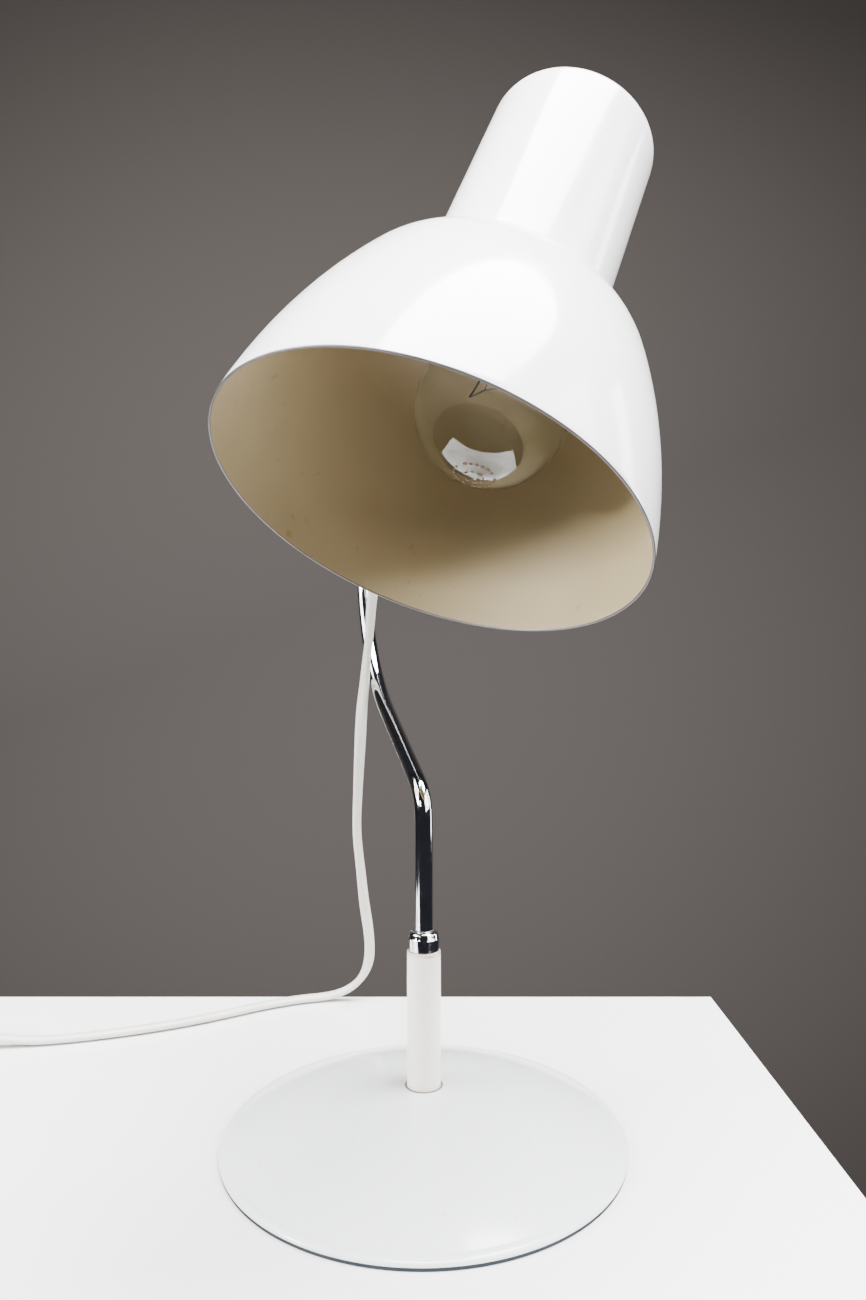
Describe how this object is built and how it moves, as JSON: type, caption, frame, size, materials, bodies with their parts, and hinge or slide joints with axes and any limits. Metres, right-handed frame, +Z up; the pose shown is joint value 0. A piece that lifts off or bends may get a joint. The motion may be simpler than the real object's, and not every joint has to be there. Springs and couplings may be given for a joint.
{
  "type": "desk lamp",
  "caption": "Desk lamp with a domed round base, a swivelling bowed tube arm and a bell shade on a two-way friction knuckle, with a mains cord and in-line switch.",
  "frame": {"origin": "centre of the underside of the round base", "axes": "+Z up along the column, +Y towards the back, where the arm bows out, and +X to the right seen from the front"},
  "size_m": [0.4557, 0.356, 0.4705],
  "materials": {
    "base_enamel": "glossy cool white enamel",
    "shade_enamel": "glossy white enamel, cream inside",
    "column_enamel": "semi-gloss warm white enamel",
    "chrome": "polished, lightly worn",
    "zinc_steel": "zinc plated",
    "cast_iron": "rough casting",
    "foot_felt": "dark blue-black felt",
    "dark_rubber": "matt",
    "nylon": "moulded",
    "brass": "bright, lightly tarnished",
    "bakelite": "moulded phenolic",
    "porcelain": "glazed ceramic",
    "clear_glass": "clear, polished",
    "black_glass": "fused glass",
    "bulb_alloy": "rolled thread",
    "bulb_metal": "drawn wire",
    "cord_pvc": "ivory PVC, satin",
    "tie_plastic": "satin",
    "switch_plastic": "ivory moulding",
    "rocker_plastic": "dark brown moulding",
    "pin_metal": "nickel plated"
  },
  "bodies": {
    "stand": {"foot_pad": "foot_felt", "base_shell": "base_enamel", "ballast": "cast_iron", "column_seal": "dark_rubber", "column_tube": "column_enamel", "column_washer": "zinc_steel", "column_nut": "zinc_steel", "column_collar": "chrome", "thrust_pad": "nylon", "lower_bush": "nylon", "cord_floor": "cord_pvc", "switch_base": "switch_plastic", "switch_cover": "switch_plastic", "switch_screws": "zinc_steel", "switch_contacts": "brass", "cord_lead": "cord_pvc", "cord_coil": "cord_pvc", "cord_tie": "tie_plastic", "cord_tail": "cord_pvc", "plug_relief": "switch_plastic", "plug_body": "switch_plastic", "plug_pins": "pin_metal"},
    "arm": {"stem_spindle": "zinc_steel", "arm_tube": "chrome", "stem_clip": "zinc_steel", "arm_ferrule": "chrome", "swivel_nipple": "zinc_steel", "cord_bush": "dark_rubber", "cord_relief": "cord_pvc", "arm_wire": "cord_pvc", "cord_drop": "cord_pvc"},
    "fork": {"knuckle_fork": "zinc_steel", "hinge_bolt": "zinc_steel", "spring_washer": "zinc_steel", "hinge_nut": "zinc_steel"},
    "head": {"knuckle_tongue": "zinc_steel", "tongue_washer": "zinc_steel", "holder_bracket": "zinc_steel", "tongue_nut": "zinc_steel", "neck_housing": "shade_enamel", "shade_ring": "zinc_steel", "ring_rivets": "zinc_steel", "bell_shade": "shade_enamel", "holder_nipple": "brass", "nipple_nut": "brass", "holder_cap": "bakelite", "holder_block": "porcelain", "holder_skirt": "bakelite", "holder_thread": "brass", "holder_contacts": "brass", "terminal_screws": "brass", "lamp_wires": "cord_pvc", "bulb_cap": "bulb_alloy", "bulb_insulator": "black_glass", "bulb_contact": "brass", "bulb_glass": "clear_glass", "bulb_stem": "clear_glass", "bulb_wires": "bulb_metal", "bulb_filament": "bulb_metal"},
    "rocker": {"switch_rocker": "rocker_plastic"}
  },
  "joints": [
    {"name": "stem_swivel", "type": "hinge", "parent": "stand", "child": "arm", "pos_m": [0, 0, 0], "axis": [0, 0, 1], "range_deg": [-120, 120]},
    {"name": "head_roll", "type": "hinge", "parent": "arm", "child": "fork", "pos_m": [0.00773, -0.02451, 0.3702], "axis": [-0.2782, 0.8824, 0.3795], "range_deg": [-55, 45]},
    {"name": "head_tilt", "type": "hinge", "parent": "fork", "child": "head", "pos_m": [0.00773, -0.02451, 0.3702], "axis": [0.7563, 0.4448, -0.4798], "range_deg": [-45, 35]},
    {"name": "switch_rock", "type": "hinge", "parent": "stand", "child": "rocker", "pos_m": [-0.284, 0.096, 0.009], "axis": [0, 1, 0], "range_deg": [-14, 0]}
  ]
}
